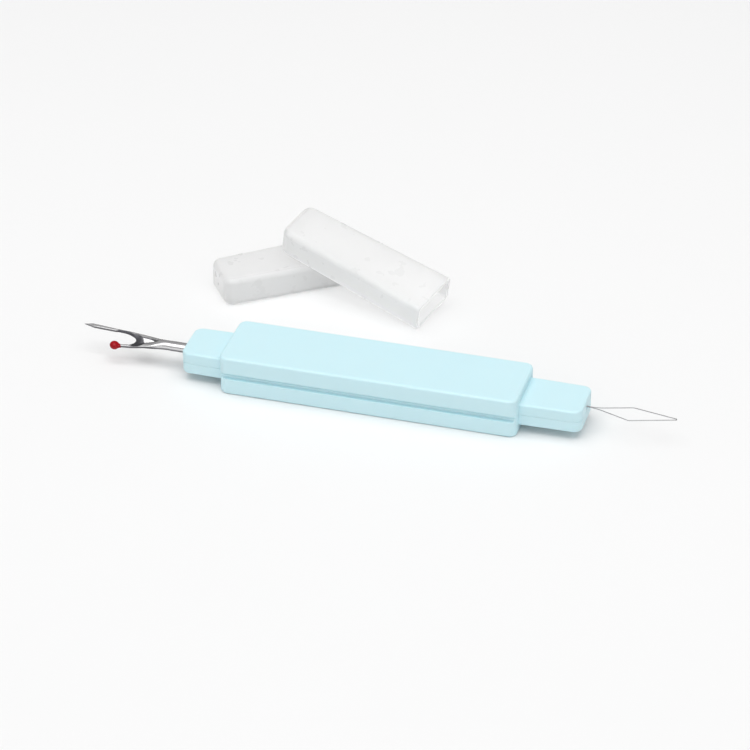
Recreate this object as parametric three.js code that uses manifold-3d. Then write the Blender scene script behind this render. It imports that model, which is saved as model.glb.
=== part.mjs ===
// A pocket sewing tool with two working ends. A flat moulded handle, made as two half shells, holds the
// flattened tang of a small seam ripper fork at one end and the crimped tails of a wire needle threader at
// the other. Two clear push-on caps lie crossed behind the handle, one leaning on the other.
//
// Millimetres, +Z up. The origin is the centre of the handle's flat underside, and +X points to the threader.

import * as THREE from 'three';
import { mergeVertices } from 'three/addons/utils/BufferGeometryUtils.js';
import Module from 'manifold-3d';

const wasm = await Module();
wasm.setup();

// Handle
const BODY_LENGTH = 70;
const BODY_WIDTH = 17.2;
const BODY_THICKNESS = 9.6;
const BODY_CORNER = 2;
const BODY_EDGE = 0.65;
const PARTING = BODY_THICKNESS / 2;
const WALL = 1.5;
const CAVITY_CORNER = 1;
const GROOVE_HEIGHT = 1.6;
const GROOVE_DEPTH = 0.8;

// Stepped-down blocks that the caps push onto
const BLOCK_THICKNESS = 5.5;
const BLOCK_ROOT_WIDTH = 12;
const BLOCK_TIP_WIDTH = 11.5;
const BLOCK_CORNER = 2;
const BLOCK_EDGE = 0.5;
const BLOCK_ROOT_CORNER = 0.8;
const RIPPER_BLOCK_LENGTH = 10;
const THREADER_BLOCK_LENGTH = 14.2;

// What the shells hold together and hold inside
const RIB_THICKNESS = 1.2;
const RIB_POSITIONS = [-12, 0, 12];
const PEG_POSITIONS = [-18, -6, 6, 18];
const PEG_DIAMETER = 1.8;
const PEG_HEIGHT = 2;
const BOSS_DIAMETER = 3.8;
const FIT_GAP = 0.15;

// The fork lies a little above the parting plane, in a channel cut deeper into the top shell
const AXIS_HEIGHT = PARTING + 0.3;

// Seam ripper fork, which is rolled about its shank
const FORK_ROLL = THREE.MathUtils.degToRad(25);
const SHANK_DIAMETER = 2.4;
const PRONG_THICKNESS = 0.8;
const WEB_THICKNESS = 0.4;
const SHANK_OVERLAP = 0.4;
const TANG_WIDTH = 4;
const TANG_THICKNESS = 1;
const TANG_LENGTH = 6.2;
const TANG_SETBACK = 1;
const TANG_NOTCH_WIDTH = 4.6;
const TANG_NOTCH_HEIGHT = 3.2;

// Ball on the short prong, with the middle of the ball given in the fork's own flat plane
const BALL_DIAMETER = 2.05;
const BALL_BORE = 1;
const BALL_BORE_DEPTH = 0.3;
const BALL_NECK_LENGTH = 1.45;
const BALL_NECK_WALL = 0.1;
const BALL_MIDDLE = [-17.65, -2.12];

// Needle threader: one wire, bent to a diamond, with its two tails side by side
const WIRE_DIAMETER = 0.2;
const TAIL_SPACING = 0.32;
const TAIL_REACH = 2.3;
const TAIL_END_IN_FERRULE = 0.4;
const DIAMOND_HALF_WIDTH = 2.7;
const DIAMOND_WAIST = 10.1;
const DIAMOND_TIP = 20.7;
const TIP_BEND = 0.3;
const TAIL_SAG = 0.12;
const WAIST_SAG = 0.3;
const TIP_RISE = 0.1;
const WIRE_SLOT_WIDTH = 0.9;
const FERRULE_LENGTH = 4.6;
const FERRULE_DIAMETER = 2;
const FERRULE_BORE = 1.2;

// The ferrule lies on the bottom shell, and the wire leaves through a slot in the top shell alone
const WIRE_HEIGHT = PARTING + FERRULE_DIAMETER / 2;

// Caps, alike but for their length: wider at the mouth than at the closed end
const RIPPER_CAP_LENGTH = 40;
const THREADER_CAP_LENGTH = 36;
const CAP_MOUTH_WIDTH = 14;
const CAP_DRAFT = 0.05;
const CAP_HEIGHT = 7.25;
const CAP_EDGE = 1.35;
const CAP_CORNER = 2.4;
const CAP_ROOT_CORNER = 1.6;
const CAP_WALL = 0.75;

const BODY_END = BODY_LENGTH / 2;
const RIPPER_FACE = -BODY_END - RIPPER_BLOCK_LENGTH;
const THREADER_FACE = BODY_END + THREADER_BLOCK_LENGTH;
const CAVITY_END = BODY_END - WALL;
const CAVITY_WIDTH = BODY_WIDTH - 2 * (WALL + GROOVE_DEPTH);

// How far a cutting or joining shape runs past the surface that it meets
const OVERRUN = 1;

const material = (name, color, roughness, metalness = 0, opacity = 1) =>
  new THREE.MeshStandardMaterial({ name, color, roughness, metalness, opacity, transparent: opacity < 1 });

const handlePlastic = material('pale blue moulded plastic', 0xc9eef8, 0.38);
const platedSteel = material('nickel-plated steel', 0xc4c4c8, 0.22, 1);
const springSteel = material('fine steel wire', 0x8e9094, 0.35, 1);
const redPlastic = material('red moulded plastic', 0xc80f22, 0.2);
const clearPlastic = material('frosted clear plastic', 0xf2f4f6, 0.3, 0, 0.45);

// Closed geometry to solid and back
function toSolid(geometry) {
  geometry.deleteAttribute('normal');
  geometry.deleteAttribute('uv');
  const merged = mergeVertices(geometry, 1e-4);
  return new wasm.Manifold(new wasm.Mesh({
    numProp: 3,
    vertProperties: new Float32Array(merged.attributes.position.array),
    triVerts: new Uint32Array(merged.index.array),
  }));
}

function toGeometry(solid) {
  const mesh = solid.getMesh();
  const geometry = new THREE.BufferGeometry();
  geometry.setAttribute('position', new THREE.BufferAttribute(mesh.vertProperties, 3));
  geometry.setIndex(new THREE.BufferAttribute(mesh.triVerts, 1));
  geometry.computeVertexNormals();
  return geometry;
}

function named(name, solid, surface) {
  const mesh = new THREE.Mesh(toGeometry(solid), surface);
  mesh.name = name;
  return mesh;
}

// Convex outline, anticlockwise, each corner given as [x, y, radius]
function roundedOutline(corners) {
  const shape = new THREE.Shape();
  corners.forEach(([x, y, radius], i) => {
    const corner = new THREE.Vector2(x, y);
    const [px, py] = corners.at(i - 1);
    const [nx, ny] = corners[(i + 1) % corners.length];
    const back = new THREE.Vector2(px, py).sub(corner).normalize();
    const ahead = new THREE.Vector2(nx, ny).sub(corner).normalize();
    const half = Math.acos(back.dot(ahead)) / 2;
    const middle = back.clone().add(ahead).normalize().multiplyScalar(radius / Math.sin(half)).add(corner);
    const start = back.multiplyScalar(radius / Math.tan(half)).add(corner).sub(middle).angle();
    const end = ahead.multiplyScalar(radius / Math.tan(half)).add(corner).sub(middle).angle();
    shape.absarc(middle.x, middle.y, radius, start, end, false);
  });
  shape.closePath();
  return shape;
}

// Flat-sided prism from z = bottom to z = top, with its upper and lower edges rounded
function slab(shape, bottom, top, edge = 0) {
  const geometry = new THREE.ExtrudeGeometry(shape, {
    depth: top - bottom - 2 * edge,
    curveSegments: 3,
    bevelEnabled: edge > 0,
    bevelThickness: edge,
    bevelSize: edge,
    bevelOffset: -edge,
    bevelSegments: 3,
  });
  return toSolid(geometry.translate(0, 0, bottom + edge));
}

function box(x, y, z) {
  const geometry = new THREE.BoxGeometry(x[1] - x[0], y[1] - y[0], z[1] - z[0]);
  return toSolid(geometry.translate((x[0] + x[1]) / 2, (y[0] + y[1]) / 2, (z[0] + z[1]) / 2));
}

function upright(diameter, x, bottom, top) {
  const geometry = new THREE.CylinderGeometry(diameter / 2, diameter / 2, top - bottom, 20);
  return toSolid(geometry.rotateX(Math.PI / 2).translate(x, 0, (bottom + top) / 2));
}

const both = (halfWidth) => [-halfWidth, halfWidth];
const widthwise = (a, b) => [Math.min(a, b), Math.max(a, b)];

// The handle's outer form before it is parted, with a straight groove along each long side
function handleForm() {
  const rectangle = roundedOutline([
    [-BODY_END, -BODY_WIDTH / 2, BODY_CORNER],
    [BODY_END, -BODY_WIDTH / 2, BODY_CORNER],
    [BODY_END, BODY_WIDTH / 2, BODY_CORNER],
    [-BODY_END, BODY_WIDTH / 2, BODY_CORNER],
  ]);
  let form = slab(rectangle, 0, BODY_THICKNESS, BODY_EDGE);
  const low = PARTING - BLOCK_THICKNESS / 2;
  const high = PARTING + BLOCK_THICKNESS / 2;
  for (const face of [RIPPER_FACE, THREADER_FACE]) {
    const turn = Math.sign(face);
    const root = turn * (CAVITY_END + WALL / 2);
    const outline = [
      [root, -turn * BLOCK_ROOT_WIDTH / 2, BLOCK_ROOT_CORNER],
      [face, -turn * BLOCK_TIP_WIDTH / 2, BLOCK_CORNER],
      [face, turn * BLOCK_TIP_WIDTH / 2, BLOCK_CORNER],
      [root, turn * BLOCK_ROOT_WIDTH / 2, BLOCK_ROOT_CORNER],
    ];
    form = form.add(slab(roundedOutline(outline), low, high, BLOCK_EDGE));
  }
  const grooveZ = [PARTING - GROOVE_HEIGHT / 2, PARTING + GROOVE_HEIGHT / 2];
  for (const side of [-1, 1]) {
    const grooveY = widthwise(side * (BODY_WIDTH / 2 - GROOVE_DEPTH), side * BODY_WIDTH);
    form = form.subtract(box(both(BODY_END + OVERRUN), grooveY, grooveZ));
  }
  return form;
}

// One half of the handle. up is 1 for the top shell and -1 for the bottom shell.
function shell(up) {
  const outside = PARTING + up * BODY_THICKNESS;
  const floor = PARTING + up * (PARTING - WALL);
  const span = widthwise(PARTING, outside);
  const hollow = widthwise(PARTING - up * OVERRUN, floor);
  const inside = widthwise(PARTING, PARTING + up * (PARTING - WALL / 2));
  let half = handleForm().intersect(box(both(2 * BODY_LENGTH), both(BODY_WIDTH), span));
  const pocket = roundedOutline([
    [-CAVITY_END, -CAVITY_WIDTH / 2, CAVITY_CORNER],
    [CAVITY_END, -CAVITY_WIDTH / 2, CAVITY_CORNER],
    [CAVITY_END, CAVITY_WIDTH / 2, CAVITY_CORNER],
    [-CAVITY_END, CAVITY_WIDTH / 2, CAVITY_CORNER],
  ]);
  half = half.subtract(slab(pocket, hollow[0], hollow[1]));
  for (const x of [TANG_STOP, TANG_CRADLE, ...RIB_POSITIONS, FERRULE_STOP, FERRULE_CRADLE]) {
    half = half.add(box([x, x + RIB_THICKNESS], both(CAVITY_WIDTH / 2 + WALL / 2), inside));
  }
  for (const x of PEG_POSITIONS) {
    half = half.add(upright(BOSS_DIAMETER, x, inside[0], inside[1]));
    if (up > 0) {
      const holeTop = PARTING + PEG_HEIGHT + FIT_GAP;
      half = half.subtract(upright(PEG_DIAMETER + 2 * FIT_GAP, x, PARTING - OVERRUN, holeTop));
    } else {
      half = half.add(upright(PEG_DIAMETER, x, PARTING - OVERRUN, PARTING + PEG_HEIGHT));
    }
  }
  half = half.subtract(shankChannel()).subtract(tangNotch()).subtract(ferruleNotch());
  return up > 0 ? half.subtract(wireSlot()) : half;
}

// Ribs that stop the tang and the ferrule, and ribs that cradle them
const TANG_END = -CAVITY_END + TANG_SETBACK + TANG_LENGTH;
const TANG_STOP = TANG_END + FIT_GAP;
const TANG_CRADLE = -CAVITY_END + TANG_SETBACK + (TANG_LENGTH - RIB_THICKNESS) / 3;
const FERRULE_OUTER = CAVITY_END - FIT_GAP;
const FERRULE_STOP = FERRULE_OUTER - FERRULE_LENGTH - FIT_GAP - RIB_THICKNESS;
const FERRULE_MIDDLE = FERRULE_OUTER - FERRULE_LENGTH / 2;
const FERRULE_CRADLE = FERRULE_MIDDLE - RIB_THICKNESS / 2;

function notch(x, width, height, middle) {
  return box(x, both(width / 2), [middle - height / 2, middle + height / 2]);
}

function shankChannel() {
  const radius = SHANK_DIAMETER / 2 + FIT_GAP;
  const [outer, inner] = [RIPPER_FACE - OVERRUN, -CAVITY_END + OVERRUN];
  const geometry = new THREE.CylinderGeometry(radius, radius, inner - outer, 24);
  return toSolid(geometry.rotateZ(Math.PI / 2).translate((outer + inner) / 2, 0, AXIS_HEIGHT));
}

const acrossRib = (x) => [x - OVERRUN, x + RIB_THICKNESS + OVERRUN];
const tangNotch = () => notch(acrossRib(TANG_CRADLE), TANG_NOTCH_WIDTH, TANG_NOTCH_HEIGHT, AXIS_HEIGHT);
const ferruleNotch = () => notch(
  acrossRib(FERRULE_CRADLE),
  FERRULE_DIAMETER + 2 * FIT_GAP,
  FERRULE_DIAMETER + 2 * FIT_GAP,
  WIRE_HEIGHT,
);
const wireSlot = () => box(
  [CAVITY_END - OVERRUN, THREADER_FACE + OVERRUN],
  both(WIRE_SLOT_WIDTH / 2),
  [PARTING - OVERRUN, WIRE_HEIGHT + WIRE_DIAMETER / 2 + FIT_GAP],
);

// Fork, in its own flat plane: x runs along the shank with 0 at the handle's end face, and the blade points
// to -x. The long prong is on the +y side and carries the point.
function forkPlate() {
  const through = (points) => points.map(([x, y]) => new THREE.Vector2(x, y));
  const shape = new THREE.Shape();
  shape.moveTo(-5.6, 1.05);
  shape.splineThru(through([[-8.5, 1.35], [-13.2, 1.85], [-18.6, 2.2], [-24.4, 2.7]]));
  shape.lineTo(-26.5, 2.35);
  shape.lineTo(-24, 1.8);
  shape.splineThru(through([
    [-18.3, 1.55], [-15.2, 1.25], [-13.3, 0.45], [-12.95, -0.3], [-13.5, -1.05], [-15, -1.65], [-17.1, -1.85],
  ]));
  shape.lineTo(-17.1, -2.4);
  shape.splineThru(through([[-13.5, -2.1], [-10.4, -1.6], [-5.6, -1.05]]));
  shape.closePath();
  return slab(shape, -PRONG_THICKNESS / 2, PRONG_THICKNESS / 2);
}

// The V-shaped hollow behind the blade, sunk into both faces of the plate
function forkHollows() {
  const shape = new THREE.Shape();
  shape.moveTo(-7.3, 0.3);
  shape.quadraticCurveTo(-10.6, 1.1, -14, 1.05);
  shape.lineTo(-14, -1.1);
  shape.quadraticCurveTo(-11.4, -1.1, -7.3, 0.3);
  const upper = slab(shape, WEB_THICKNESS / 2, PRONG_THICKNESS);
  return upper.add(slab(shape, -PRONG_THICKNESS, -WEB_THICKNESS / 2));
}

function forkShank() {
  const radius = SHANK_DIAMETER / 2;
  const inner = TANG_END - RIPPER_FACE - TANG_LENGTH + SHANK_OVERLAP;
  const profile = [[0, -10.4], [PRONG_THICKNESS / 2, -10.4], [radius, -5.6], [radius, inner], [0, inner]];
  const geometry = new THREE.LatheGeometry(profile.map(([r, x]) => new THREE.Vector2(r, x)), 20);
  return toSolid(geometry.rotateZ(-Math.PI / 2));
}

function ripperFork() {
  const tangEnd = TANG_END - RIPPER_FACE;
  const tang = box([tangEnd - TANG_LENGTH, tangEnd], both(TANG_WIDTH / 2), both(TANG_THICKNESS / 2));
  return forkPlate().subtract(forkHollows()).add(forkShank()).add(tang);
}

// Ball with a drawn-out neck, moulded round the end of the short prong
function ripperBall() {
  const [radius, bore] = [BALL_DIAMETER / 2, BALL_BORE / 2];
  const profile = [
    [0, -BALL_BORE_DEPTH],
    [bore, -BALL_BORE_DEPTH],
    [bore, BALL_NECK_LENGTH],
    [bore + BALL_NECK_WALL, BALL_NECK_LENGTH],
  ].map(([r, x]) => new THREE.Vector2(r, x));
  const [neckAngle, steps] = [0.85, 10];
  for (let i = 0; i < steps; i += 1) {
    const angle = THREE.MathUtils.lerp(neckAngle, Math.PI, i / steps);
    profile.push(new THREE.Vector2(radius * Math.sin(angle), radius * Math.cos(angle)));
  }
  profile.push(new THREE.Vector2(0, -radius));
  profile.reverse();
  return toSolid(new THREE.LatheGeometry(profile, 20).rotateZ(-Math.PI / 2));
}

// Threader wire, with x = 0 at the handle's end face. Past the face it sags a little and its tip turns up.
function threaderWire() {
  const tail = TAIL_SPACING / 2;
  const inner = FERRULE_OUTER - FERRULE_LENGTH + TAIL_END_IN_FERRULE - THREADER_FACE;
  const half = [
    [inner, tail, 0],
    [0, tail, 0],
    [TAIL_REACH, tail, -TAIL_SAG],
    [DIAMOND_WAIST, DIAMOND_HALF_WIDTH, -WAIST_SAG],
    [DIAMOND_TIP - TIP_BEND, TIP_BEND * 2 / 3, TIP_RISE],
  ];
  const route = [...half, ...half.map(([x, y, z]) => [x, -y, z]).reverse()];
  const path = new THREE.CurvePath();
  for (let i = 1; i < route.length; i += 1) {
    const ends = [route[i - 1], route[i]].map((point) => new THREE.Vector3(...point));
    path.add(new THREE.LineCurve3(...ends));
  }
  const section = new THREE.Shape().absarc(0, 0, WIRE_DIAMETER / 2, 0, 2 * Math.PI, false);
  return toSolid(new THREE.ExtrudeGeometry(section, { extrudePath: path, steps: 110, curveSegments: 4 }));
}

function threaderFerrule() {
  const [outer, inner, half] = [FERRULE_DIAMETER / 2, FERRULE_BORE / 2, FERRULE_LENGTH / 2];
  const profile = [[inner, -half], [outer, -half], [outer, half], [inner, half], [inner, -half]];
  const geometry = new THREE.LatheGeometry(profile.map(([r, x]) => new THREE.Vector2(r, x)), 20);
  return toSolid(geometry.rotateZ(-Math.PI / 2));
}

// Cap, lying on its flat side: the mouth's lower edge runs through the origin, and +x runs to the closed end
function capOutline(mouth, length, inset, corner) {
  const widthAt = (x) => CAP_MOUTH_WIDTH - CAP_DRAFT * x - 2 * inset;
  return roundedOutline([
    [mouth, -widthAt(mouth) / 2, CAP_ROOT_CORNER],
    [length, -widthAt(length) / 2, corner],
    [length, widthAt(length) / 2, corner],
    [mouth, widthAt(mouth) / 2, CAP_ROOT_CORNER],
  ]);
}

function cap(length) {
  const past = -3 * OVERRUN;
  const outer = slab(capOutline(past, length, 0, CAP_CORNER), 0, CAP_HEIGHT, CAP_EDGE);
  const hollow = capOutline(past, length - CAP_WALL, CAP_WALL, CAP_CORNER - CAP_WALL);
  const inner = slab(hollow, CAP_WALL, CAP_HEIGHT - CAP_WALL, CAP_EDGE - CAP_WALL);
  const keep = box([0, 2 * length], both(CAP_MOUTH_WIDTH), [-OVERRUN, CAP_HEIGHT + OVERRUN]);
  return outer.intersect(keep).subtract(inner);
}

// How each cap lies: the middle of its mouth's lower edge, the heading from its mouth to its closed end,
// how far the closed end is tipped up, and how far the cap leans over to one side
function lyingCap(name, { length, mouth, heading, tip, lean }) {
  const mesh = named(name, cap(length), clearPlastic);
  mesh.position.set(...mouth);
  mesh.rotation.set(...[lean, -tip, heading].map(THREE.MathUtils.degToRad), 'ZYX');
  return mesh;
}

function lengthwise(name, solid, surface, x, height) {
  const mesh = named(name, solid, surface);
  mesh.position.set(x, 0, height);
  return mesh;
}

// The fork and its ball, turned together about the shank
function rolledFork() {
  const ball = named('ripper_ball', ripperBall(), redPlastic);
  ball.position.set(...BALL_MIDDLE, 0);
  const holder = new THREE.Group().add(named('ripper_fork', ripperFork(), platedSteel), ball);
  holder.position.set(RIPPER_FACE, 0, AXIS_HEIGHT);
  holder.rotation.x = FORK_ROLL;
  return holder;
}

const group = new THREE.Group();
group.name = 'needle_threader';
group.add(
  named('top_shell', shell(1), handlePlastic),
  named('bottom_shell', shell(-1), handlePlastic),
  rolledFork(),
  lengthwise('threader_wire', threaderWire(), springSteel, THREADER_FACE, WIRE_HEIGHT),
  lengthwise('threader_ferrule', threaderFerrule(), platedSteel, FERRULE_MIDDLE, WIRE_HEIGHT),
  lyingCap('ripper_cap', {
    length: RIPPER_CAP_LENGTH, mouth: [2.9, 36, 1.1], heading: 164.7, tip: 13.2, lean: -9.5,
  }),
  lyingCap('threader_cap', {
    length: THREADER_CAP_LENGTH, mouth: [-19.8, 53.3, 0], heading: 216.5, tip: 0, lean: 0,
  }),
);

export default group;
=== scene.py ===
import math

import bmesh
import bpy
import numpy as np
from mathutils import Matrix, Vector
from mathutils.geometry import delaunay_2d_cdt


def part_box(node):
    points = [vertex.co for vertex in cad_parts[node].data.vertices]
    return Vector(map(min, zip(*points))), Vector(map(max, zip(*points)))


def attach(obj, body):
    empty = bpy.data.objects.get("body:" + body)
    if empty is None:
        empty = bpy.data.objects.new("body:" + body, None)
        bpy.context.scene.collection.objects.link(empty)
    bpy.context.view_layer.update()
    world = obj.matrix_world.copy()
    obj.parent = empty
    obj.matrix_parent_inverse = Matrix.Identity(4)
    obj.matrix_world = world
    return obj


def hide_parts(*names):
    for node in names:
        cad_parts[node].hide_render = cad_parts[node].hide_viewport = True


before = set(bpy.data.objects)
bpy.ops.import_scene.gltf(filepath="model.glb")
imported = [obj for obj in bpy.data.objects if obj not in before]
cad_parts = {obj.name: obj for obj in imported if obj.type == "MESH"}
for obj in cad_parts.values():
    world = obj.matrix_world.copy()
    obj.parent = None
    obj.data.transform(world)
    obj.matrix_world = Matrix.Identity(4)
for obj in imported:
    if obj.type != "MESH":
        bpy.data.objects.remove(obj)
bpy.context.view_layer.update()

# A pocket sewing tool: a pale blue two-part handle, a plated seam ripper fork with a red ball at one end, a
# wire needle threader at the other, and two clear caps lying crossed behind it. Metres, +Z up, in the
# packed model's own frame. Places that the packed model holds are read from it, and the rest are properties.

bl_info = {
    "name": "Needle threader and seam ripper",
    "version": (1, 0, 0),
    "blender": (4, 5, 0),
    "location": "3D View > Sidebar > Sewing tool",
    "description": "Builds a two-ended pocket sewing tool and its clear caps piece by piece",
    "category": "Object",
}

MM = 0.001


def linear(hexadecimal):
    """An sRGB hex colour as linear red, green, blue and alpha."""
    channels = [int(hexadecimal[i:i + 2], 16) / 255 for i in (1, 3, 5)]
    return [c / 12.92 if c <= 0.04045 else ((c + 0.055) / 1.055) ** 2.4 for c in channels] + [1]


# ---------------------------------------------------------------- properties

def size_property(name, description, millimetres):
    return bpy.props.FloatProperty(
        name=name, description=description, default=millimetres * MM, unit="LENGTH", precision=5
    )


def angle_property(name, description, degrees):
    return bpy.props.FloatProperty(
        name=name, description=description, default=math.radians(degrees), subtype="ANGLE"
    )


def colour_property(name, description, hexadecimal):
    return bpy.props.FloatVectorProperty(
        name=name, description=description, default=linear(hexadecimal), size=4, min=0, max=1, subtype="COLOR"
    )


class HandleSizes(bpy.types.PropertyGroup):
    """Sizes of the two handle shells"""

    body_length: size_property("Body length", "Length of the thick middle part", 70)
    body_corner: size_property("Body corner", "Radius of the body's corners from above", 2)
    body_edge: size_property("Body edge", "Radius along the body's top and bottom edges", 0.65)
    wall: size_property("Wall", "Wall thickness", 1.5)
    groove_height: size_property("Groove height", "Height of the groove along each long side", 1.6)
    groove_depth: size_property("Groove depth", "Depth of the groove along each long side", 0.8)
    lip: size_property("Groove lip", "Radius of the groove's two lips", 0.09)
    parting_chamfer: size_property("Parting chamfer", "Small chamfer on both shells where they meet", 0.17)
    block_thickness: size_property("Block thickness", "Thickness of the stepped-down end blocks", 5.5)
    block_root: size_property("Block root width", "Width of a block where it leaves the body", 12)
    block_tip: size_property("Block tip width", "Width of a block at its end face", 11.5)
    block_corner: size_property("Block corner", "Radius of a block's corners from above", 2)
    block_edge: size_property("Block edge", "Radius along a block's long edges", 0.5)
    rib: size_property("Rib", "Thickness of the inner ribs", 1.2)
    peg: size_property("Peg", "Diameter of the pegs that join the shells", 1.8)
    boss: size_property("Boss", "Diameter of the bosses round the pegs", 3.8)
    peg_pitch: size_property("Peg pitch", "Distance between pegs", 12)
    fit: size_property("Fit", "Clearance round pegs, shank and ferrule", 0.15)


class ForkSizes(bpy.types.PropertyGroup):
    """Sizes of the seam ripper fork and its ball"""

    roll: angle_property("Roll", "How far the fork is turned about its shank", 25)
    lift: size_property("Lift", "How far the shank lies above the parting plane", 0.3)
    shank: size_property("Shank", "Diameter of the round shank", 2.4)
    blade: size_property("Blade", "Thickness of the flattened blade", 0.84)
    blade_edge: size_property("Blade edge", "Radius along the edges of the blade", 0.2)
    web: size_property("Web", "Thickness of the web in the hollow behind the blade", 0.4)
    tang: size_property("Tang", "Thickness of the flattened tang", 1)
    bevel: size_property("Ground bevel", "Width of the ground bevel at the bottom of the fork", 2.3)
    ball: size_property("Ball", "Diameter of the ball", 2.05)
    ball_stretch: bpy.props.FloatProperty(
        name="Ball stretch", description="Length of the ball over its diameter", default=1.1, min=1, max=1.5
    )
    ball_neck: size_property("Ball neck", "Length of the ball's neck from its middle", 1.6)


class LoopSizes(bpy.types.PropertyGroup):
    """Sizes of the wire loop and its ferrule"""

    wire: size_property("Wire", "Diameter of the wire", 0.2)
    spacing: size_property("Spacing", "Distance between the two tails", 0.25)
    tails: size_property("Tails", "How far the tails run side by side outside the handle", 2.3)
    waist: size_property("Waist", "Distance from the handle to the widest place", 10.1)
    half_width: size_property("Half width", "Half the width at the widest place", 2.7)
    tip: size_property("Tip", "Distance from the handle to the tip", 20.7)
    sag: size_property("Sag", "How far the loop sags at its widest place", 0.3)
    tip_rise: size_property("Tip rise", "How far the tip turns up", 0.1)
    ferrule_bore: size_property("Ferrule bore", "Bore of the ferrule", 1.2)


class CapSizes(bpy.types.PropertyGroup):
    """Sizes of the two caps"""

    ripper_length: size_property("Ripper cap length", "Length of the ripper cap", 40)
    threader_length: size_property("Threader cap length", "Length of the threader cap", 36)
    mouth_width: size_property("Mouth width", "Outer width at the mouth", 14)
    height: size_property("Height", "Outer height", 7.25)
    edge: size_property("Edge", "Radius of the four long edges", 1.35)
    corner: size_property("Corner", "Radius of the closed end's corners from above", 2.4)
    wall: size_property("Wall", "Wall thickness", 0.75)
    draft: bpy.props.FloatProperty(
        name="Draft", description="Width lost per unit of length", default=0.05, min=0, max=1,
        subtype="FACTOR"
    )


class Finishes(bpy.types.PropertyGroup):
    """Colours of the finishes"""

    handle: colour_property("Handle", "Pale blue handle plastic", "#CEEEF5")
    steel: colour_property("Steel", "Nickel-plated steel", "#DAD9DA")
    # the ground steel colour is partly painted reflection on the bevel, and it also paints the fork's shade
    # lines
    ground_and_painted_shade: colour_property("Ground steel", "Bare ground steel of the cutting edge", "#5A5A5E")
    wire: colour_property("Wire", "Drawn steel wire", "#ACACAE")
    sleeve: colour_property("Sleeve", "Plated ferrule", "#C2C0BA")
    ball: colour_property("Ball", "Red ball plastic", "#A80012")
    cap: colour_property("Cap", "Clear cap plastic", "#F0F0F0")
    floor: colour_property("Floor", "Pale floor", "#F2F2F2")


# ---------------------------------------------------------------- mesh helpers

def make_object(name, mesh):
    piece = bpy.data.objects.new(name, mesh)
    bpy.context.scene.collection.objects.link(piece)
    return piece


def skin(name, rings, looped=False):
    """One closed mesh through rings of the same number of points, with flat ends unless it loops round."""
    count = len(rings[0])
    faces = []
    for i in range(len(rings) if looped else len(rings) - 1):
        a, b = i * count, (i + 1) % len(rings) * count
        faces += [(a + k, a + (k + 1) % count, b + (k + 1) % count, b + k) for k in range(count)]
    if not looped:
        last = (len(rings) - 1) * count
        faces += [tuple(range(count)), tuple(last + k for k in range(count))]
    mesh = bpy.data.meshes.new(name)
    mesh.from_pydata([tuple(point) for ring in rings for point in ring], [], faces)
    face_outwards(mesh)
    return make_object(name, mesh)


def face_outwards(mesh):
    bm = bmesh.new()
    bm.from_mesh(mesh)
    bmesh.ops.recalc_face_normals(bm, faces=bm.faces)
    bm.to_mesh(mesh)
    bm.free()


def combine(piece, tool, operation):
    """Joins tool to piece or cuts it away, and removes tool."""
    modifier = piece.modifiers.new("combine", "BOOLEAN")
    modifier.object = tool
    modifier.operation = operation
    modifier.solver = "EXACT"
    evaluated = piece.evaluated_get(bpy.context.evaluated_depsgraph_get())
    mesh = bpy.data.meshes.new_from_object(evaluated)
    if not mesh.polygons:
        raise RuntimeError(f"nothing is left of {piece.name} after {tool.name}")
    piece.modifiers.clear()
    piece.data = mesh
    bpy.data.objects.remove(tool)


def shade(piece, sharp_degrees=30):
    """Smooth shading that keeps flat faces flat and edges sharper than the angle crisp."""
    piece.data.shade_smooth()
    piece.data.set_sharp_from_angle(angle=math.radians(sharp_degrees))
    modifier = piece.modifiers.new("flat faces stay flat", "WEIGHTED_NORMAL")
    modifier.keep_sharp = True


def place(piece, node, body, finish):
    """Gives a piece its finish, and lets it stand for a CAD node and move with its body."""
    piece.data.materials.clear()
    piece.data.materials.append(finish)
    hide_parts(node)
    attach(piece, body)


def rectangle(half_length, half_width, radius):
    """The four corners of a rectangle about the origin, anticlockwise, each (x, y, radius)."""
    signs = ((-1, -1), (1, -1), (1, 1), (-1, 1))
    return [(across * half_length, up * half_width, radius) for across, up in signs]


def rounded_outline(corners, inset=0, steps=10):
    """Points round a convex outline, anticlockwise. Each corner is (x, y, radius)."""
    points = []
    for i, (x, y, radius) in enumerate(corners):
        corner = Vector((x, y))
        back = (Vector(corners[i - 1][:2]) - corner).normalized()
        ahead = (Vector(corners[(i + 1) % len(corners)][:2]) - corner).normalized()
        half = back.angle(ahead) / 2
        centre = corner + (back + ahead).normalized() * radius / math.sin(half)
        start = corner + back * radius / math.tan(half) - centre
        first = math.atan2(start.y, start.x)
        for k in range(steps + 1):
            angle = first + (math.pi - 2 * half) * k / steps
            points.append(centre + (radius - inset) * Vector((math.cos(angle), math.sin(angle))))
    return points


def slab(name, corners, low, high, low_edge=0, high_edge=0, steps=8):
    """Upright prism with rounded upper and lower edges."""
    levels = []
    for k in range(steps + 1 if low_edge else 1):
        angle = math.pi / 2 * k / steps
        levels.append((low + low_edge * (1 - math.cos(angle)), low_edge * (1 - math.sin(angle))))
    for k in range(steps + 1 if high_edge else 1):
        angle = math.pi / 2 * (1 - k / steps)
        levels.append((high - high_edge * (1 - math.cos(angle)), high_edge * (1 - math.sin(angle))))
    return skin(name, [[(x, y, z) for x, y in rounded_outline(corners, inset)] for z, inset in levels])


def block(name, x, y, z):
    """Plain block between two places on each axis."""
    outline = [(x[0], y[0]), (x[1], y[0]), (x[1], y[1]), (x[0], y[1])]
    return skin(name, [[(px, py, height) for px, py in outline] for height in z])


def circle(radius, steps=32):
    return [(radius * math.cos(a), radius * math.sin(a)) for a in np.linspace(0, 2 * math.pi, steps, False)]


def upright_round(name, x, diameter, z):
    """Upright cylinder on the handle's middle line."""
    return skin(name, [[(x + px, py, height) for px, py in circle(diameter / 2)] for height in z])


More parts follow.
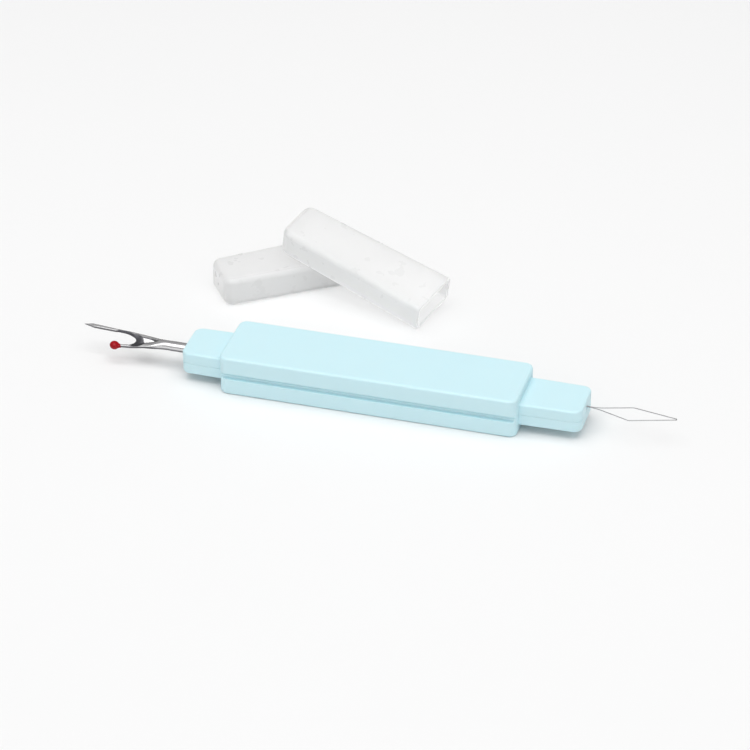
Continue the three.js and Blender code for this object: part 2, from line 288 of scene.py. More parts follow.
def lathe(name, profile, steps=40, looped=False):
    """Turns a profile of (x, radius) points about the X axis."""
    return skin(name, [[(x, py, pz) for py, pz in circle(radius, steps)] for x, radius in profile], looped)


def mirror_pair(value):
    return (-value, value)


# ---------------------------------------------------------------- finishes

def new_finish(name):
    finish = bpy.data.materials.new(name)
    finish.use_nodes = True
    return finish


def surface_of(finish):
    return finish.node_tree.nodes["Principled BSDF"]


def add_node(tree, kind, inputs=None, **settings):
    """Adds one node, with its settings and its inputs, which are values or other nodes' outputs."""
    node = tree.nodes.new(kind)
    for name, value in settings.items():
        setattr(node, name, value)
    connect(tree, node, inputs or {})
    return node


def connect(tree, node, inputs):
    """Sets or links a node's inputs, given by name, or by number where two share a name."""
    for name, value in inputs.items():
        if isinstance(value, bpy.types.NodeSocket):
            tree.links.new(value, node.inputs[name])
        else:
            node.inputs[name].default_value = value


# a Mix node's colour sockets share their names with its number sockets, so they are picked by number
MIX_FIRST, MIX_SECOND, MIX_RESULT = 6, 7, 2


def per(millimetres):
    """Texture scale that gives features of this size, because texture space is in metres."""
    return 1 / (millimetres * MM)


def noise(tree, millimetres, detail=2, stretch=(1, 1, 1)):
    """Noise with features of this size, in the piece's own coordinates."""
    place_in_piece = add_node(tree, "ShaderNodeTexCoord").outputs["Object"]
    mapping = add_node(tree, "ShaderNodeMapping", {"Vector": place_in_piece, "Scale": stretch})
    texture = {"Vector": mapping.outputs["Vector"], "Scale": per(millimetres), "Detail": detail}
    return add_node(tree, "ShaderNodeTexNoise", texture).outputs["Fac"]


def uneven(tree, low, high, millimetres, detail=2):
    """A value that wanders between low and high."""
    span = {"Value": noise(tree, millimetres, detail), "From Min": 0.3, "From Max": 0.7}
    return add_node(tree, "ShaderNodeMapRange", {**span, "To Min": low, "To Max": high}).outputs["Result"]


def mottled(tree, colour, share, millimetres, detail=2):
    """A colour that is darkened in patches, down to this share of itself."""
    dark = [channel * share for channel in colour[:3]] + [1]
    inputs = {"Factor": noise(tree, millimetres, detail), MIX_FIRST: dark, MIX_SECOND: colour}
    return add_node(tree, "ShaderNodeMix", inputs, data_type="RGBA").outputs[MIX_RESULT]


def relief(tree, depth, strength, pattern, under=None):
    """The normal of a noise pattern that is this many millimetres deep. The pattern holds what noise takes,
    and it can lie on top of another relief."""
    inputs = {"Height": noise(tree, *pattern), "Distance": depth * MM, "Strength": strength}
    if under:
        inputs["Normal"] = under
    return add_node(tree, "ShaderNodeBump", inputs).outputs["Normal"]


def moulded_abs(colour):
    """Satin ABS, injection moulded: an even pale blue with a soft sheen, very slightly mottled, over a fine
    spark-eroded mould texture and the faint waviness of a moulded face."""
    finish = new_finish("moulded ABS, pale blue")
    tree = finish.node_tree
    waviness = relief(tree, 0.012, 1, (9, 1))
    # the real texture is about 0.05 mm and is drawn at 0.2 mm so that it shows
    texture = relief(tree, 0.003, 0.6, (0.2, 1), waviness)
    connect(tree, surface_of(finish), {
        "Base Color": mottled(tree, colour, 0.97, 14, 3),
        "Roughness": uneven(tree, 0.36, 0.46, 2.5, 4),
        "IOR": 1.53,
        "Subsurface Weight": 0.12,
        "Subsurface Radius": (0.6, 1.0, 1.1),
        "Subsurface Scale": 1 * MM,
        "Normal": texture,
    })
    return finish


def nickel_plate(colour, ground_and_painted_shade_colour):
    """Nickel-plated forged steel: bright, a little warm, with fine polishing lines along the shank, and
    darker, rougher bare metal where the cutting edge is ground after plating, painted darker still to stand
    for the dark reflection in that bevel. The same dark colour paints shade lines along the hollow and the
    edges."""
    finish = new_finish("nickel-plated steel")
    tree = finish.node_tree
    # the attribute holds the ground bevel, painted dark for its reflection, and the painted shade lines
    ground_and_painted_shade = add_node(tree, "ShaderNodeAttribute", attribute_name="ground_and_painted_shade").outputs["Fac"]
    worn = mottled(tree, colour, 0.9, 3, 3)
    colours = {"Factor": ground_and_painted_shade, MIX_FIRST: worn, MIX_SECOND: ground_and_painted_shade_colour}
    polish = {"Value": ground_and_painted_shade, "To Min": 0.14, "To Max": 0.34}
    connect(tree, surface_of(finish), {
        "Base Color": add_node(tree, "ShaderNodeMix", colours, data_type="RGBA").outputs[MIX_RESULT],
        "Metallic": 1,
        "Roughness": add_node(tree, "ShaderNodeMapRange", polish).outputs["Result"],
        # polishing lines are about 0.03 mm apart and are drawn at 0.12 mm so that they show
        "Normal": relief(tree, 0.004, 0.5, (0.12, 2, (0.04, 1, 1))),
    })
    return finish


def drawn_steel(colour):
    """Drawn spring steel wire: grey, with fine die lines along its length."""
    finish = new_finish("drawn steel wire")
    tree = finish.node_tree
    connect(tree, surface_of(finish), {
        "Base Color": mottled(tree, colour, 0.85, 1.5),
        "Metallic": 1,
        "Roughness": uneven(tree, 0.3, 0.42, 0.6),
        "Normal": relief(tree, 0.002, 0.5, (0.05, 1, (0.05, 1, 1))),
    })
    return finish


def plated_sleeve(colour):
    """Nickel-plated drawn brass sleeve: dull silver with fine scratches from the crimping tool."""
    finish = new_finish("plated crimp sleeve")
    tree = finish.node_tree
    connect(tree, surface_of(finish), {
        "Base Color": mottled(tree, colour, 0.75, 1, 3),
        "Metallic": 1,
        "Roughness": uneven(tree, 0.3, 0.45, 0.3),
        "Normal": relief(tree, 0.004, 0.6, (0.08, 2, (1, 0.1, 1))),
    })
    return finish


def red_acrylic(colour):
    """Red acrylic moulded on the prong: deep, glossy and even."""
    finish = new_finish("red acrylic")
    tree = finish.node_tree
    connect(tree, surface_of(finish), {
        "Base Color": mottled(tree, colour, 0.75, 1.2),
        "Roughness": uneven(tree, 0.06, 0.12, 0.5),
        "IOR": 1.49,
        "Specular IOR Level": 0.25,
        "Normal": relief(tree, 0.01, 0.5, (0.9, 1)),
    })
    return finish


def frosted_polypropylene(colour):
    """Clear polypropylene, moulded against a fine matt tool: a milky wall that scatters the light inside it,
    with faint rub marks from being pushed on and off. It covers more at a slant, and it dims the light that
    passes it only a little, so shadow rays meet a thinner wall."""
    finish = new_finish("frosted clear polypropylene")
    tree = finish.node_tree
    facing = add_node(tree, "ShaderNodeLayerWeight", {"Blend": 0.4}).outputs["Facing"]
    slant = {"Value": facing, "From Min": 0.3, "From Max": 0.9, "To Min": 0.6, "To Max": 0.96}
    shadow_ray = add_node(tree, "ShaderNodeLightPath").outputs["Is Shadow Ray"]
    shadow = {"Value": shadow_ray, "To Min": 1, "To Max": 0.1}
    shares = [add_node(tree, "ShaderNodeMapRange", span).outputs["Result"] for span in (slant, shadow)]
    cover = add_node(tree, "ShaderNodeMath", {0: shares[0], 1: shares[1]}, operation="MULTIPLY")
    connect(tree, surface_of(finish), {
        "Base Color": mottled(tree, colour, 0.985, 8),
        "Roughness": uneven(tree, 0.26, 0.36, 3),
        "IOR": 1.49,
        "Subsurface Weight": 1,
        "Subsurface Radius": (1, 1, 1),
        "Subsurface Scale": 4 * MM,
        "Alpha": cover.outputs["Value"],
        "Normal": relief(tree, 0.002, 0.4, (0.35, 2)),
    })
    return finish


def matt_board(colour):
    """Plain white board: matt and even, with a barely visible paper tooth."""
    finish = new_finish("matt white board")
    tree = finish.node_tree
    connect(tree, surface_of(finish), {
        "Base Color": mottled(tree, colour, 0.99, 60),
        "Roughness": 0.7,
        "Normal": relief(tree, 0.01, 0.3, (0.8, 2)),
    })
    return finish


# ---------------------------------------------------------------- pieces

def shank_height():
    """Height of the fork's shank, a little above the parting plane."""
    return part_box("top_shell")[0].z + bpy.context.scene.ripper_fork_sizes.lift


def wire_height():
    """Height of the wire, in the middle of its ferrule."""
    low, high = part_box("threader_ferrule")
    return (low.z + high.z) / 2


def shell_outside(sizes, name):
    """Outer form of one half shell. Heights are measured outwards from the parting plane."""
    low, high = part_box("top_shell")
    half_length, half_width = sizes.body_length / 2, high.y
    thickness = high.z - low.z
    chamfer = sizes.parting_chamfer
    corners = rectangle(half_length, half_width, sizes.body_corner)
    shell = slab(name, corners, 0, thickness, chamfer, sizes.body_edge)
    for face in (low.x, high.x):
        turn = math.copysign(1, face)
        root = turn * (half_length - sizes.wall / 2)
        corners = [
            (root, -turn * sizes.block_root / 2, sizes.block_edge),
            (face, -turn * sizes.block_tip / 2, sizes.block_corner),
            (face, turn * sizes.block_tip / 2, sizes.block_corner),
            (root, turn * sizes.block_root / 2, sizes.block_edge),
        ]
        end = slab("end block", corners, 0, sizes.block_thickness / 2, chamfer, sizes.block_edge)
        combine(shell, end, "UNION")
    for side in (-1, 1):
        combine(shell, groove_cutter(sizes, half_length, half_width, side), "DIFFERENCE")
    return shell


def groove_cutter(sizes, half_length, half_width, side):
    """Half of the side groove's section, with a rounded lip and a chamfer at the parting plane."""
    floor = half_width - sizes.groove_depth
    ceiling, lip, chamfer = sizes.groove_height / 2, sizes.lip, sizes.parting_chamfer
    past, steps = 1 * MM, 6
    section = [(half_width + past, -past), (half_width + past, ceiling + lip)]
    for k in range(steps + 1):
        angle = math.pi / 2 * k / steps
        section.append((half_width - lip * (1 - math.cos(angle)), ceiling + lip * (1 - math.sin(angle))))
    section += [(floor, ceiling), (floor, chamfer), (floor - chamfer, 0), (floor - chamfer, -past)]
    ends = mirror_pair(half_length + past)
    return skin("groove", [[(x, side * y, z) for y, z in section] for x in ends])


def hollow_out(sizes, shell, up):
    """Pocket, ribs, bosses and pegs, and the seats for the tang, shank, ferrule and wire."""
    low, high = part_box("top_shell")
    past = 1 * MM
    depth = high.z - low.z - sizes.wall
    pocket_end = sizes.body_length / 2 - sizes.wall
    pocket_side = high.y - sizes.groove_depth - sizes.wall
    pocket_corner = sizes.fit + 0.85 * MM
    pocket = slab("pocket", rectangle(pocket_end, pocket_side, pocket_corner), -past, depth)
    combine(shell, pocket, "DIFFERENCE")
    ferrule_low, ferrule_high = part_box("threader_ferrule")
    tang_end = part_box("ripper_fork")[1].x
    shank, wire = up * (shank_height() - low.z), up * (wire_height() - low.z)
    half_wall = sizes.wall / 2
    peg_length = 2 * MM
    ferrule_middle = (ferrule_low.x + ferrule_high.x) / 2
    tang_cradle = tang_end - 4.5 * MM
    ribs = [tang_end + sizes.fit, tang_cradle, -sizes.peg_pitch, 0, sizes.peg_pitch,
            ferrule_low.x - sizes.fit - sizes.rib, ferrule_middle - sizes.rib / 2]
    for x in ribs:
        rib = block("rib", (x, x + sizes.rib), mirror_pair(pocket_side + half_wall), (0, depth + half_wall))
        combine(shell, rib, "UNION")
    for x in [sizes.peg_pitch * step for step in (-1.5, -0.5, 0.5, 1.5)]:
        combine(shell, upright_round("boss", x, sizes.boss, (0, depth + half_wall)), "UNION")
        if up > 0:
            hole = upright_round("peg hole", x, sizes.peg + 2 * sizes.fit, (-past, peg_length + sizes.fit))
            combine(shell, hole, "DIFFERENCE")
        else:
            combine(shell, upright_round("peg", x, sizes.peg, (-peg_length, past)), "UNION")
    shank_radius = bpy.context.scene.ripper_fork_sizes.shank / 2 + sizes.fit
    shank_seat = [
        [(x, py, pz + shank) for py, pz in circle(shank_radius)] for x in (low.x - past, -pocket_end + past)
    ]
    combine(shell, skin("shank seat", shank_seat), "DIFFERENCE")
    # each seat is a stretch along the handle, half a width and a span of heights
    tang_half_width, tang_half_height = 2.3 * MM, 1.6 * MM
    ferrule_half = (ferrule_high.z - ferrule_low.z) / 2 + sizes.fit
    ferrule_reach = 1.6 * MM
    slot_half_width, slot_clearance = 0.45 * MM, 0.25 * MM
    seats = [
        ((tang_cradle - past, tang_cradle + sizes.rib + past), tang_half_width,
         (shank - tang_half_height, shank + tang_half_height)),
        ((ferrule_middle - ferrule_reach, ferrule_middle + ferrule_reach), ferrule_half,
         (wire - ferrule_half, wire + ferrule_half)),
    ]
    if up > 0:
        seats.append(((pocket_end - past, high.x + past), slot_half_width, (-past, wire + slot_clearance)))
    for x, half_width, heights in seats:
        combine(shell, block("seat", x, mirror_pair(half_width), heights), "DIFFERENCE")


class SEWING_OT_handle_shells(bpy.types.Operator):
    """Build the upper and lower handle shells, with their groove, end blocks, ribs and pegs"""

    bl_idname = "sewing_tool.handle_shells"
    bl_label = "Handle shells"

    def execute(self, context):
        sizes = context.scene.handle_sizes
        finish = moulded_abs(context.scene.tool_finishes.handle)
        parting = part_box("top_shell")[0].z
        for name, node, up in (("upper_handle", "top_shell", 1), ("lower_handle", "bottom_shell", -1)):
            shell = shell_outside(sizes, name)
            hollow_out(sizes, shell, up)
            shell.data.transform(Matrix.Translation((0, 0, parting)) @ Matrix.Diagonal((1, 1, up, 1)))
            if up < 0:
                shell.data.flip_normals()
            shade(shell)
            place(shell, node, "handle", finish)
        return {"FINISHED"}


def through(points, steps=10):
    """Smooth curve through points, from the first to the last, without the last point."""
    path = []
    for i in range(len(points) - 1):
        p0, p1 = Vector(points[max(i - 1, 0)]), Vector(points[i])
        p2, p3 = Vector(points[i + 1]), Vector(points[min(i + 2, len(points) - 1)])
        for k in range(steps):
            t = k / steps
            path.append(0.5 * (2 * p1 + (p2 - p0) * t + (2 * p0 - 5 * p1 + 4 * p2 - p3) * t ** 2
                               + (3 * p1 - p0 - 3 * p2 + p3) * t ** 3))
    return path


def resample(outline, step):
    """The same closed outline with points about step apart."""
    points = []
    for i, start in enumerate(outline):
        end = outline[(i + 1) % len(outline)]
        pieces = max(1, round((end - start).length / step))
        points += [start.lerp(end, k / pieces) for k in range(pieces)]
    return points


def nearest(points, path, closed):
    """For each point, the distance to a path and where along the path the nearest place is, from 0 to 1."""
    start = np.array(path, float)
    end = np.roll(start, -1, axis=0)
    if not closed:
        start, end = start[:-1], end[:-1]
    along = end - start
    length = np.hypot(*along.T)
    share_at = np.concatenate([[0], np.cumsum(length)])
    distances, shares = [], []
    # in chunks, because each holds every pair of a point and a stretch of the path
    chunks = 8
    for chunk in np.array_split(np.asarray(points, float), chunks):
        offset = chunk[:, None] - start
        t = np.clip((offset * along).sum(2) / length ** 2, 0, 1)
        gap = np.hypot(*np.moveaxis(offset - t[..., None] * along, 2, 0))
        best = gap.argmin(1)
        rows = np.arange(len(chunk))
        distances.append(gap[rows, best])
        shares.append((share_at[best] + t[rows, best] * length[best]) / share_at[-1])
    return np.concatenate(distances), np.concatenate(shares)


def inside(points, outline):
    """Which points lie inside a closed outline."""
    start = np.array(outline, float)
    end = np.roll(start, -1, axis=0)
    x, y = np.asarray(points, float).T[:, :, None]
    spans = (start[:, 1] > y) != (end[:, 1] > y)
    rise = np.where(end[:, 1] == start[:, 1], 1, end[:, 1] - start[:, 1])
    crossing = (end[:, 0] - start[:, 0]) * (y - start[:, 1]) / rise + start[:, 0]
    return (spans & (x < crossing)).sum(1) % 2 == 1


def ease(value, start, end):
    """0 before start, 1 after end, and a smooth step between them."""
    t = np.clip((value - start) / (end - start), 0, 1)
    return t * t * (3 - 2 * t)


# The fork's outline is in its own flat plane and in millimetres: x is 0 at the handle's end face and falls
# towards the point. The long prong, with the point, is on the +y side.
FORK_BACK = [(-24.4, 2.7), (-18.6, 2.2), (-13.2, 1.85), (-8.5, 1.35), (-5.6, 1.18), (-4.2, 1.2)]
FORK_BELLY = [(-4.2, -1.2), (-5.6, -1.18), (-10.4, -1.6), (-13.5, -2.1), (-17.1, -2.4)]
FORK_THROAT = [(-17.1, -1.85), (-15, -1.65), (-13.5, -1.05), (-12.95, -0.3), (-13.3, 0.45), (-15.2, 1.25),
               (-18.3, 1.55), (-24, 1.8)]
FORK_POINT = (-26.5, 2.35)
FORK_HOLLOW = [(-7.3, 0.3), (-9.0, 0.72), (-10.6, 0.92), (-12.4, 1.04), (-14.6, 1.08), (-14.6, -1.15),
               (-12.4, -1.12), (-10.8, -0.9), (-9.0, -0.45)]
TANG_START, TANG_HALF_WIDTH = 12.9, 2
SHORT_PRONG_END = [(-17.3, -2.3), (-17.35, -2.12), (-17.3, -1.95)]
BALL_MIDDLE = (-17.65, -2.12)
# Stretches of x over which the flat blade swells to the round shank, the shank flattens to the tang, the
# point thins and the blade's edges round off
BLADE_TO_SHANK = (-10.8, -5.2)
SHANK_TO_TANG = (TANG_START - 1.6, TANG_START + 0.2)
POINT_THINS = (-22.5, -26.5)
EDGES_ROUND = (-7, -10.5)


def fork_outline(tang_end):
    """The fork's closed outline and its throat, the curve between the prongs."""
    throat = through(FORK_THROAT) + [Vector(FORK_THROAT[-1])]
    flare, cut_corner, spacing = 1.4, 0.5, 0.13
    tang = [(TANG_START - flare, FORK_BACK[-1][1]), (TANG_START, TANG_HALF_WIDTH),
            (tang_end - cut_corner, TANG_HALF_WIDTH), (tang_end, TANG_HALF_WIDTH - cut_corner)]
    outline = through(FORK_BACK) + [Vector(FORK_BACK[-1])]
    outline += [Vector(point) for point in tang] + [Vector((x, -y)) for x, y in reversed(tang)]
    outline += through(FORK_BELLY) + [Vector(FORK_BELLY[-1])]
    outline += [Vector(point) for point in SHORT_PRONG_END] + throat
    outline += [Vector(FORK_POINT).lerp(throat[-1], 0.04), Vector(FORK_POINT)]
    return resample(outline, spacing), throat


def fork_half_thickness(sizes, points, edge_gap, throat):
    """Half the thickness at each point, in millimetres, and how much the metal there is ground or painted
    with shade lines, 0 to 1 or a little over."""
    x, y = points.T
    shank, blade, tang = sizes.shank / 2 / MM, sizes.blade / 2 / MM, sizes.tang / 2 / MM
    point_loss = 0.45
    full = blade + (shank - blade) * ease(x, *BLADE_TO_SHANK)
    full = full + (tang - shank) * ease(x, *SHANK_TO_TANG)
    full = full * (1 - point_loss * ease(x, *POINT_THINS))
    flattened = ease(x, *EDGES_ROUND) * ease(x, 0, -0.01)
    reach = full + (np.minimum(full, sizes.blade_edge / MM) - full) * flattened
    over_edge = 1 - np.clip(edge_gap / reach, 0, 1)
    rounded = full - reach * (1 - np.sqrt(np.clip(1 - over_edge ** 2, 0, 1)))

    # the hollow behind the throat, sunk to a web that is thicker towards the long prong
    hollow = [Vector(point) for point in FORK_HOLLOW]
    depth, _ = nearest(points, hollow, True)
    depth = np.where(inside(points, hollow), depth, 0)
    middle_web, tilt, least_share, wall_width = sizes.web / 2 / MM, 0.2, 0.4, 0.32
    web = np.clip(middle_web + 0.04 + tilt * y, least_share * middle_web, full)
    sunk = ease(depth, 0, wall_width)
    half = np.minimum(rounded, rounded + (np.minimum(web, rounded) - rounded) * sunk)

    # the throat is ground to a cutting edge, in a crescent that is widest near the throat's bottom and ends
    # in two horns, all at shares of the throat's length; the crescent's dark colour is partly painted
    # reflection
    gap, along = nearest(points, throat, False)
    bottom, spread = 0.285, 0.075
    horns = ease(along, 0.13, 0.22) * ease(along, 0.69, 0.57)
    least_width, cutting_edge, beyond = 0.62, 0.03, 2
    width = np.maximum(sizes.bevel / MM * np.exp(-np.abs(along - bottom) / spread), least_width)
    width = width * horns + 1e-6
    # bare ground metal, painted dark for the reflection the bevel shows
    ground_and_painted_shade = 1 - ease(gap / width, 0.94, 1.04)
    half = np.minimum(half, cutting_edge + (web + 0.06) * gap / width + (1 - ground_and_painted_shade) * beyond)

    # painted shade lines: along the hollow's wall, most on the long prong's side, for the shaded wall, and
    # along the edges, for the dark reflections at the fork's outline and under the shank
    wall = np.exp(-((depth - 0.12) / 0.15) ** 2) * (depth > 0) * np.where(y > 0, 1.3, 0.6)
    # painted shade: a wide dark line along the blade's edges, and a fine one round the whole outline
    painted_edge_shade = 0.8 * (1 - ease(edge_gap, 0.05, 0.15)) * flattened
    painted_outline_shade = 0.9 * (1 - ease(edge_gap, 0.015, 0.07))
    return half, np.maximum.reduce([ground_and_painted_shade, wall, painted_edge_shade, painted_outline_shade])


def fork_plan_points(outline):
    """Outline points, then points that follow the outline inwards, then a grid inside."""
    depths, clearances = (0.035, 0.09, 0.17, 0.27), (0.033, 0.085, 0.16, 0.255)
    step, grid_clearance = 0.17, 0.34
    edge = np.array(outline, float)
    along = np.roll(edge, -1, axis=0) - np.roll(edge, 1, axis=0)
    inward = np.stack([along[:, 1], -along[:, 0]], 1) / np.hypot(*along.T)[:, None]
    # one point moved a little way shows which side is the inner one
    trial = edge[5] + 0.01 * inward[5]
    if not inside([trial], outline)[0]:
        inward = -inward
    across = np.arange(edge[:, 1].min(), edge[:, 1].max(), step)
    lengthwise = np.arange(edge[:, 0].min(), edge[:, 0].max(), step)
    grid = np.array([(x + step / 2 * (i % 2), y) for i, y in enumerate(across) for x in lengthwise])
    layers = [(edge + depth * inward, clearance) for depth, clearance in zip(depths, clearances)]
    kept = [edge]
    for layer, clearance in [*layers, (grid, grid_clearance)]:
        layer = layer[inside(layer, outline)]
        kept.append(layer[nearest(layer, outline, True)[0] > clearance])
    return np.concatenate(kept)


def fork_placement(sizes):
    """Puts the fork's flat plane on the shank's axis at the handle's end face, rolled about the axis."""
    low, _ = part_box("top_shell")
    return Matrix.Translation((low.x, 0, shank_height())) @ Matrix.Rotation(sizes.roll, 4, "X")


class SEWING_OT_ripper_fork(bpy.types.Operator):
    """Build the seam ripper fork: tang, round shank, flattened blade, hollow web and ground throat"""

    bl_idname = "sewing_tool.ripper_fork"
    bl_label = "Seam ripper fork"

    def execute(self, context):
        sizes = context.scene.ripper_fork_sizes
        low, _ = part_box("top_shell")
        outline, throat = fork_outline((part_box("ripper_fork")[1].x - low.x) / MM)
        points = fork_plan_points(outline)
        edges = [(i, (i + 1) % len(outline)) for i in range(len(outline))]
        triangles_inside, tolerance = 1, 1e-6
        plan = delaunay_2d_cdt([Vector(p) for p in points], edges, [], triangles_inside, tolerance)
        flat, faces = np.array(plan[0], float), plan[2]
        edge_gap, _ = nearest(flat, outline, True)
        half, ground_and_painted_shade = fork_half_thickness(sizes, flat, edge_gap, throat)
        least_half = 0.01
        half = np.maximum(half, least_half)
        count = len(flat)
        corners = np.concatenate([np.column_stack([flat, half]), np.column_stack([flat, -half])])
        skins = [tuple(face) for face in faces]
        skins += [tuple(count + i for i in reversed(face)) for face in faces]
        directed = {(face[k], face[(k + 1) % len(face)]) for face in faces for k in range(len(face))}
        rim = [(b, a, count + a, count + b) for a, b in directed if (b, a) not in directed]
        mesh = bpy.data.meshes.new("fork")
        mesh.from_pydata((corners * MM).tolist(), [], skins + rim)
        face_outwards(mesh)
        # the ground bevel and the painted shade lines, as one attribute
        attribute = mesh.attributes.new("ground_and_painted_shade", "FLOAT", "POINT")
        attribute.data.foreach_set("value", np.concatenate([ground_and_painted_shade, ground_and_painted_shade]).astype(np.float32))
        mesh.transform(fork_placement(sizes))
        mesh.shade_smooth()
        finishes = context.scene.tool_finishes
        fork = make_object("forged_fork", mesh)
        place(fork, "ripper_fork", "handle", nickel_plate(finishes.steel, finishes.ground_and_painted_shade))
        return {"FINISHED"}


class SEWING_OT_ripper_ball(bpy.types.Operator):
    """Build the red ball with its drawn-out neck, moulded round the short prong"""

    bl_idname = "sewing_tool.ripper_ball"
    bl_label = "Ripper ball"

    def execute(self, context):
        sizes = context.scene.ripper_fork_sizes
        radius, neck = sizes.ball / 2, sizes.ball_neck
        prong = 0.42 * MM
        neck_angle, neck_curve = math.pi - 0.85, 1.7
        profile = []
        for angle in np.linspace(0.02, neck_angle, 26):
            profile.append((-radius * sizes.ball_stretch * math.cos(angle), radius * math.sin(angle)))
        start_x, start_r = profile[-1]
        for share in np.linspace(0, 1, 9)[1:]:
            x = start_x + (neck - start_x) * share
            profile.append((x, prong + (start_r - prong) * (1 - share) ** neck_curve))
        ball = lathe("moulded_ball", profile, 48)
        on_prong = Matrix.Translation((BALL_MIDDLE[0] * MM, BALL_MIDDLE[1] * MM, 0))
        ball.data.transform(fork_placement(sizes) @ on_prong)
        shade(ball, 60)
        place(ball, "ripper_ball", "handle", red_acrylic(context.scene.tool_finishes.ball))
        return {"FINISHED"}


def bent_path(points, bends, steps=8):
    """Path through points with each inner corner replaced by a round bend."""
    path = [Vector(points[0])]
    for before, corner, after, bend in zip(points, points[1:], points[2:], bends):
        corner = Vector(corner)
        back, ahead = (Vector(before) - corner).normalized(), (Vector(after) - corner).normalized()
        for k in range(steps + 1):
            t = k / steps
            path.append((1 - t) ** 2 * (corner + back * bend) + 2 * t * (1 - t) * corner
                        + t ** 2 * (corner + ahead * bend))
    path.append(Vector(points[-1]))
    return path


def tube(name, path, radius, steps=12):
    """Round wire along a path. The section turns as little as it can."""
    rings = []
    side = Vector((0, 0, 1))
    for i, point in enumerate(path):
        ahead = (path[min(i + 1, len(path) - 1)] - path[max(i - 1, 0)]).normalized()
        side = (side - ahead * side.dot(ahead)).normalized()
        other = ahead.cross(side)
        rings.append([point + side * a + other * b for a, b in circle(radius, steps)])
    return skin(name, rings)


class SEWING_OT_threader_loop(bpy.types.Operator):
    """Build the wire loop of the needle threader, with its two tails side by side"""

    bl_idname = "sewing_tool.threader_loop"
    bl_label = "Threader loop"

    def execute(self, context):
        sizes = context.scene.loop_sizes
        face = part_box("top_shell")[1].x
        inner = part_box("threader_wire")[0].x - face
        tail = sizes.spacing / 2
        tip_half, tip_back = 0.2 * MM, 0.25 * MM
        half = [(inner, tail, 0), (0, tail, 0), (sizes.tails, tail, -0.4 * sizes.sag),
                (sizes.waist, sizes.half_width, -sizes.sag),
                (sizes.tip - tip_back, tip_half, sizes.tip_rise)]
        points = half + [(x, -y, z) for x, y, z in reversed(half)]
        # how far each bend reaches from its corner: at the handle, where the tails part, the waist, the tip
        bends = [0.6 * MM, 1.6 * MM, 0.35 * MM, 0.18 * MM]
        wire = tube("wire_loop", bent_path(points, bends + bends[::-1]), sizes.wire / 2)
        wire.data.transform(Matrix.Translation((face, 0, wire_height())))
        shade(wire, 80)
        place(wire, "threader_wire", "handle", drawn_steel(context.scene.tool_finishes.wire))
        return {"FINISHED"}


class SEWING_OT_threader_ferrule(bpy.types.Operator):
    """Build the ferrule, with rolled ends and two crimps"""

    bl_idname = "sewing_tool.threader_ferrule"
    bl_label = "Threader ferrule"

    def execute(self, context):
        low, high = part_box("threader_ferrule")
        bore = context.scene.loop_sizes.ferrule_bore / 2
        radius, half_length = (high.z - low.z) / 2, (high.x - low.x) / 2
        edge = 0.15 * MM
        crimp_depth, crimp_width = 0.14 * MM, 0.35 * MM
        crimps = mirror_pair(half_length / 3)
        outside = []
        for x in np.linspace(-half_length + edge, half_length - edge, 41):
            dents = sum(math.exp(-((x - crimp) / crimp_width) ** 2) for crimp in crimps)
            outside.append((x, radius - crimp_depth * dents))
        ends = [(half_length, radius - edge), (half_length, bore + edge), (half_length - edge, bore)]
        profile = outside + ends + [(-x, r) for x, r in reversed(ends)]
        ferrule = lathe("crimp_sleeve", profile, 40, looped=True)
        ferrule.data.transform(Matrix.Translation(((low.x + high.x) / 2, 0, (low.z + high.z) / 2)))
        shade(ferrule)
        finish = plated_sleeve(context.scene.tool_finishes.sleeve)
        place(ferrule, "threader_ferrule", "handle", finish)
        return {"FINISHED"}


LEAST_CAP_EDGE = 0.3 * MM


def cap_section(x, half_width, half_height, middle, radius):
    """Rounded rectangle across the cap at x."""
    corners = [(y, middle + z, r) for y, z, r in rectangle(half_width, half_height, radius)]
    return [(x, y, z) for y, z in rounded_outline(corners, 0, 8)]


def cap_stations(sizes, length, inset, steps=10):
    """Sections from the mouth to the closed end, of the outside or, with an inset, of the inside."""
    half_height = sizes.height / 2 - inset
    end = length - inset
    corner = max(sizes.corner - inset, 0.5 * MM)
    edge = max(sizes.edge - inset, LEAST_CAP_EDGE)
    end_radius = 0.12 * MM
    bays = 12
    places = [end * k / bays for k in range(bays) if end * k / bays < end - corner]
    places += [end - corner * math.cos(math.pi / 2 * k / steps) for k in range(steps)]
    # three more close to the end, where the long edges turn in, a hair off so that no two places are alike
    hair_off = 0.999
    places += [end - edge * (1 - math.sin(math.pi / 2 * k / steps)) * hair_off for k in (7, 8, 9)] + [end]
    sections = []
    for x in sorted(places):
        half_width = (sizes.mouth_width - sizes.draft * x) / 2 - inset
        in_corner = min(max(x - (end - corner), 0), corner)
        in_edge = min(max(x - (end - edge), 0), edge)
        narrowed = corner - math.sqrt(max(corner ** 2 - in_corner ** 2, 0))
        lowered = edge - math.sqrt(max(edge ** 2 - in_edge ** 2, 0))
        radius = max(edge - lowered * 0.8, end_radius)
        section = (half_width - narrowed, half_height - lowered, sizes.height / 2, radius)
        sections.append(cap_section(x, *section))
    return sections


def cap_shell(name, sizes, length):
    """One cap as a single closed wall: inside to the mouth, round the lip, and back along the outside."""
    inner = cap_stations(sizes, length, sizes.wall)
    outer = cap_stations(sizes, length, 0)
    lip, lip_bulge = [], 0.2 * MM
    for share in np.linspace(0, 1, 7)[1:-1]:
        angle = math.pi * share
        inset = sizes.wall * (1 + math.cos(angle)) / 2
        half_width = sizes.mouth_width / 2 - inset
        radius = max(sizes.edge - inset, LEAST_CAP_EDGE)
        x = -lip_bulge * math.sin(angle)
        lip.append(cap_section(x, half_width, sizes.height / 2 - inset, sizes.height / 2, radius))
    return skin(name, inner[::-1] + lip + outer)


